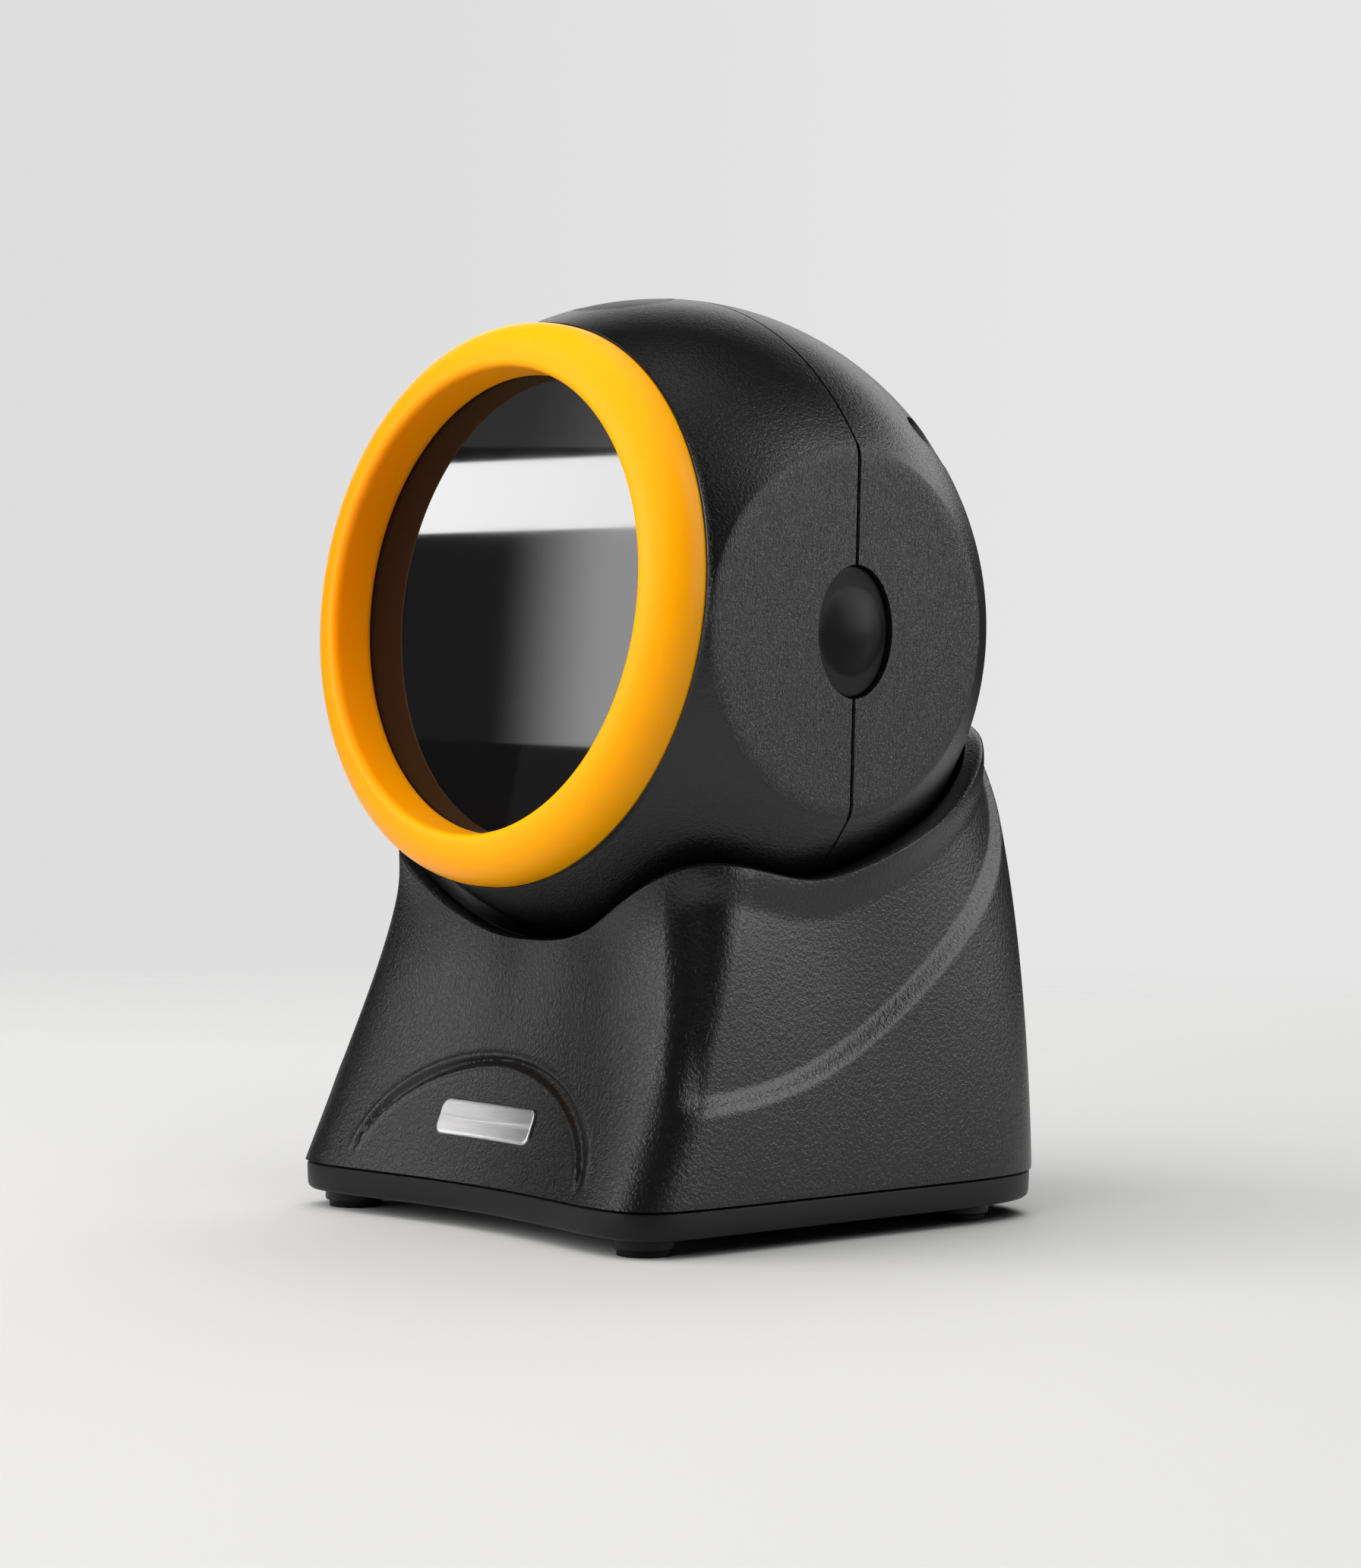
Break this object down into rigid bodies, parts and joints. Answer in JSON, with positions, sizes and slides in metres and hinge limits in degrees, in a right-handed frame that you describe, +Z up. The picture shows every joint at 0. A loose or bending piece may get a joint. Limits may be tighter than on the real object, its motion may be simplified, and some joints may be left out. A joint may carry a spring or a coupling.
{
  "type": "desktop presentation barcode scanner",
  "caption": "Hands-free desktop barcode scanner: a ball-shaped reading head with an amber bezel and dark round window, tilting in the cradle of a flared weighted base.",
  "frame": {"origin": "on the standing surface, under the middle of the bounding box", "axes": "+Z up, -Y towards the window (front), +X to the right seen from the front"},
  "size_m": [0.0898, 0.0953, 0.1455],
  "materials": {
    "black_shell": "fine moulded texture, satin",
    "base_tray": "smooth dark moulding",
    "rubber": "matt rubber",
    "amber_plastic": "satin, slightly translucent amber",
    "dark_glass": "polished, dark tinted",
    "clear_plastic": "frosted",
    "lens_glass": "coated",
    "badge_metal": "brushed, blank",
    "steel": "zinc plated",
    "ballast_iron": "rough",
    "brass": "turned",
    "friction_fibre": "bonded fibre",
    "circuit_board": "solder mask",
    "white_plastic": "smooth",
    "black_component": "moulded"
  },
  "bodies": {
    "base": {"base_shell": "black_shell", "base_plate": "base_tray", "rubber_feet": "rubber", "base_screws": "steel", "name_badge": "badge_metal", "ballast_weight": "ballast_iron", "ballast_screws": "steel", "interface_board": "circuit_board", "cable_jack": "base_tray", "jack_contacts": "brass", "pivot_post": "base_tray", "post_screws": "steel", "post_bushes": "brass"},
    "head": {"front_shell": "black_shell", "rear_shell": "black_shell", "bezel_ring": "amber_plastic", "window": "dark_glass", "window_gasket": "rubber", "status_lens": "base_tray", "status_light_guide": "clear_plastic", "status_board": "circuit_board", "side_plug_left": "rubber", "side_plug_right": "rubber", "axle": "steel", "axle_nuts": "steel", "friction_washers": "friction_fibre", "pivot_bracket_left": "steel", "pivot_bracket_right": "steel", "bracket_screws": "steel", "chassis_frame": "white_plastic", "chassis_screws": "steel", "camera_board": "circuit_board", "image_sensor": "black_component", "lens_holder": "base_tray", "camera_lens": "lens_glass", "upper_light_board": "circuit_board", "lower_light_board": "circuit_board", "light_leds": "white_plastic", "light_diffusers": "clear_plastic", "aimer_module": "base_tray", "main_board": "circuit_board", "board_posts": "brass", "board_screws": "steel", "shield_can": "steel", "board_sockets": "white_plastic", "ribbon_cable": "white_plastic", "beeper": "black_component", "head_screws": "steel"}
  },
  "joints": [
    {"name": "head_tilt", "type": "hinge", "parent": "base", "child": "head", "pos_m": [0, -0.00655, 0.0935], "axis": [1, 0, 0], "range_deg": [-12, 13]}
  ]
}
